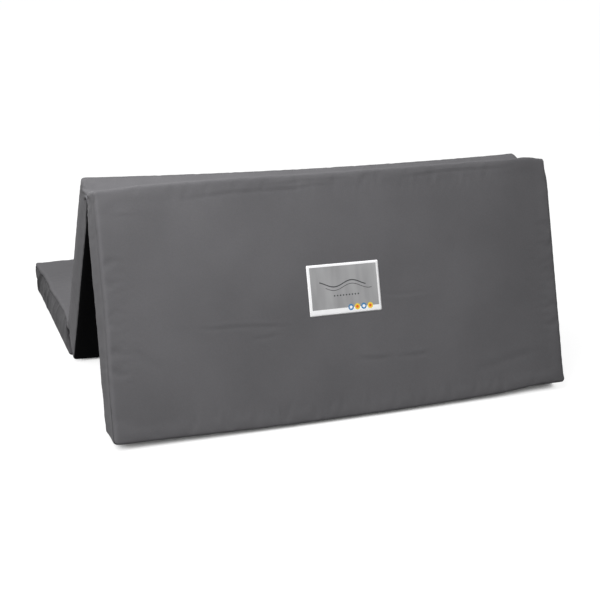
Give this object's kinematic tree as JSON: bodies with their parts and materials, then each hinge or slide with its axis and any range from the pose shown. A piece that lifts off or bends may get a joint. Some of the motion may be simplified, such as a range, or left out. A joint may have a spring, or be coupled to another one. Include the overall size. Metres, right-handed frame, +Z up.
{
  "type": "folding mattress",
  "caption": "Fold-up foam mattress in equal padded sections joined by cloth hinges, standing as a tent with its rear section flat on the floor.",
  "frame": {"origin": "under the middle of the box, on the floor", "axes": "+Z up; +X across the mattress to the right as seen from the front; +Y from the front section back to the flat rear section"},
  "size_m": [1.4098, 1.3994, 0.6615],
  "materials": {
    "foam": "open-cell foam, cream, matt",
    "face_cloth": "smooth brushed knit, dark grey, soft sheen",
    "underside_cloth": "smooth knit, dark grey, matt",
    "border_cloth": "smooth brushed knit, dark grey, matt",
    "fold_cloth": "gathered dark grey knit, matt",
    "zip_tape": "woven black tape with a nylon coil",
    "zip_metal": "grey cast metal",
    "label_cloth": "satin label, white edge round a grey field"
  },
  "bodies": {
    "rear_section": {"rear_foam_core": "foam", "rear_face_panel": "face_cloth", "rear_underside_panel": "underside_cloth", "rear_border": "border_cloth", "rear_zip_tape": "zip_tape", "lower_fold_rear_flap": "fold_cloth", "lower_fold_roll": "fold_cloth"},
    "middle_section": {"middle_foam_core": "foam", "middle_face_panel": "face_cloth", "middle_underside_panel": "underside_cloth", "middle_border": "border_cloth", "middle_zip_tape": "zip_tape", "lower_fold_middle_flap": "fold_cloth", "upper_fold_middle_flap": "fold_cloth", "upper_fold_roll": "fold_cloth"},
    "front_section": {"front_foam_core": "foam", "front_face_panel": "face_cloth", "front_underside_panel": "underside_cloth", "front_border": "border_cloth", "front_zip_tape": "zip_tape", "upper_fold_front_flap": "fold_cloth", "front_label": "label_cloth"},
    "front_slider": {"front_zip_slider": "zip_metal"},
    "front_pull": {"front_zip_pull": "zip_metal"},
    "middle_slider": {"middle_zip_slider": "zip_metal"},
    "middle_pull": {"middle_zip_pull": "zip_metal"},
    "rear_slider": {"rear_zip_slider": "zip_metal"},
    "rear_pull": {"rear_zip_pull": "zip_metal"}
  },
  "joints": [
    {"name": "lower_fold", "type": "hinge", "parent": "rear_section", "child": "middle_section", "pos_m": [-0.00495, 0.03914, 0.101], "axis": [1, 0, 0], "range_deg": [-120.9, 59.1]},
    {"name": "upper_fold", "type": "hinge", "parent": "middle_section", "child": "front_section", "pos_m": [-0.00495, -0.38989, 0.61923], "axis": [1, 0, 0], "range_deg": [-129.84, 50.16]},
    {"name": "front_zip", "type": "slide", "parent": "front_section", "child": "front_slider", "axis": [0, 0.3298, 0.9441], "range_m": [0, 0.5]},
    {"name": "front_pull_swing", "type": "hinge", "parent": "front_slider", "child": "front_pull", "pos_m": [0.70145, -0.6313, 0.08284], "axis": [0, -0.9441, 0.3298], "range_deg": [0, 170]},
    {"name": "middle_zip", "type": "slide", "parent": "middle_section", "child": "middle_slider", "axis": [0, -0.5135, 0.8581], "range_m": [0, 0.5]},
    {"name": "middle_pull_swing", "type": "hinge", "parent": "middle_slider", "child": "middle_pull", "pos_m": [0.70145, -0.04519, 0.1426], "axis": [0, -0.8581, -0.5135], "range_deg": [0, 170]},
    {"name": "rear_zip", "type": "slide", "parent": "rear_section", "child": "rear_slider", "axis": [0, 1, 0], "range_m": [0, 0.5]},
    {"name": "rear_pull_swing", "type": "hinge", "parent": "rear_slider", "child": "rear_pull", "pos_m": [0.70145, 0.11814, 0.05], "axis": [0, 0, 1], "range_deg": [0, 170]}
  ]
}
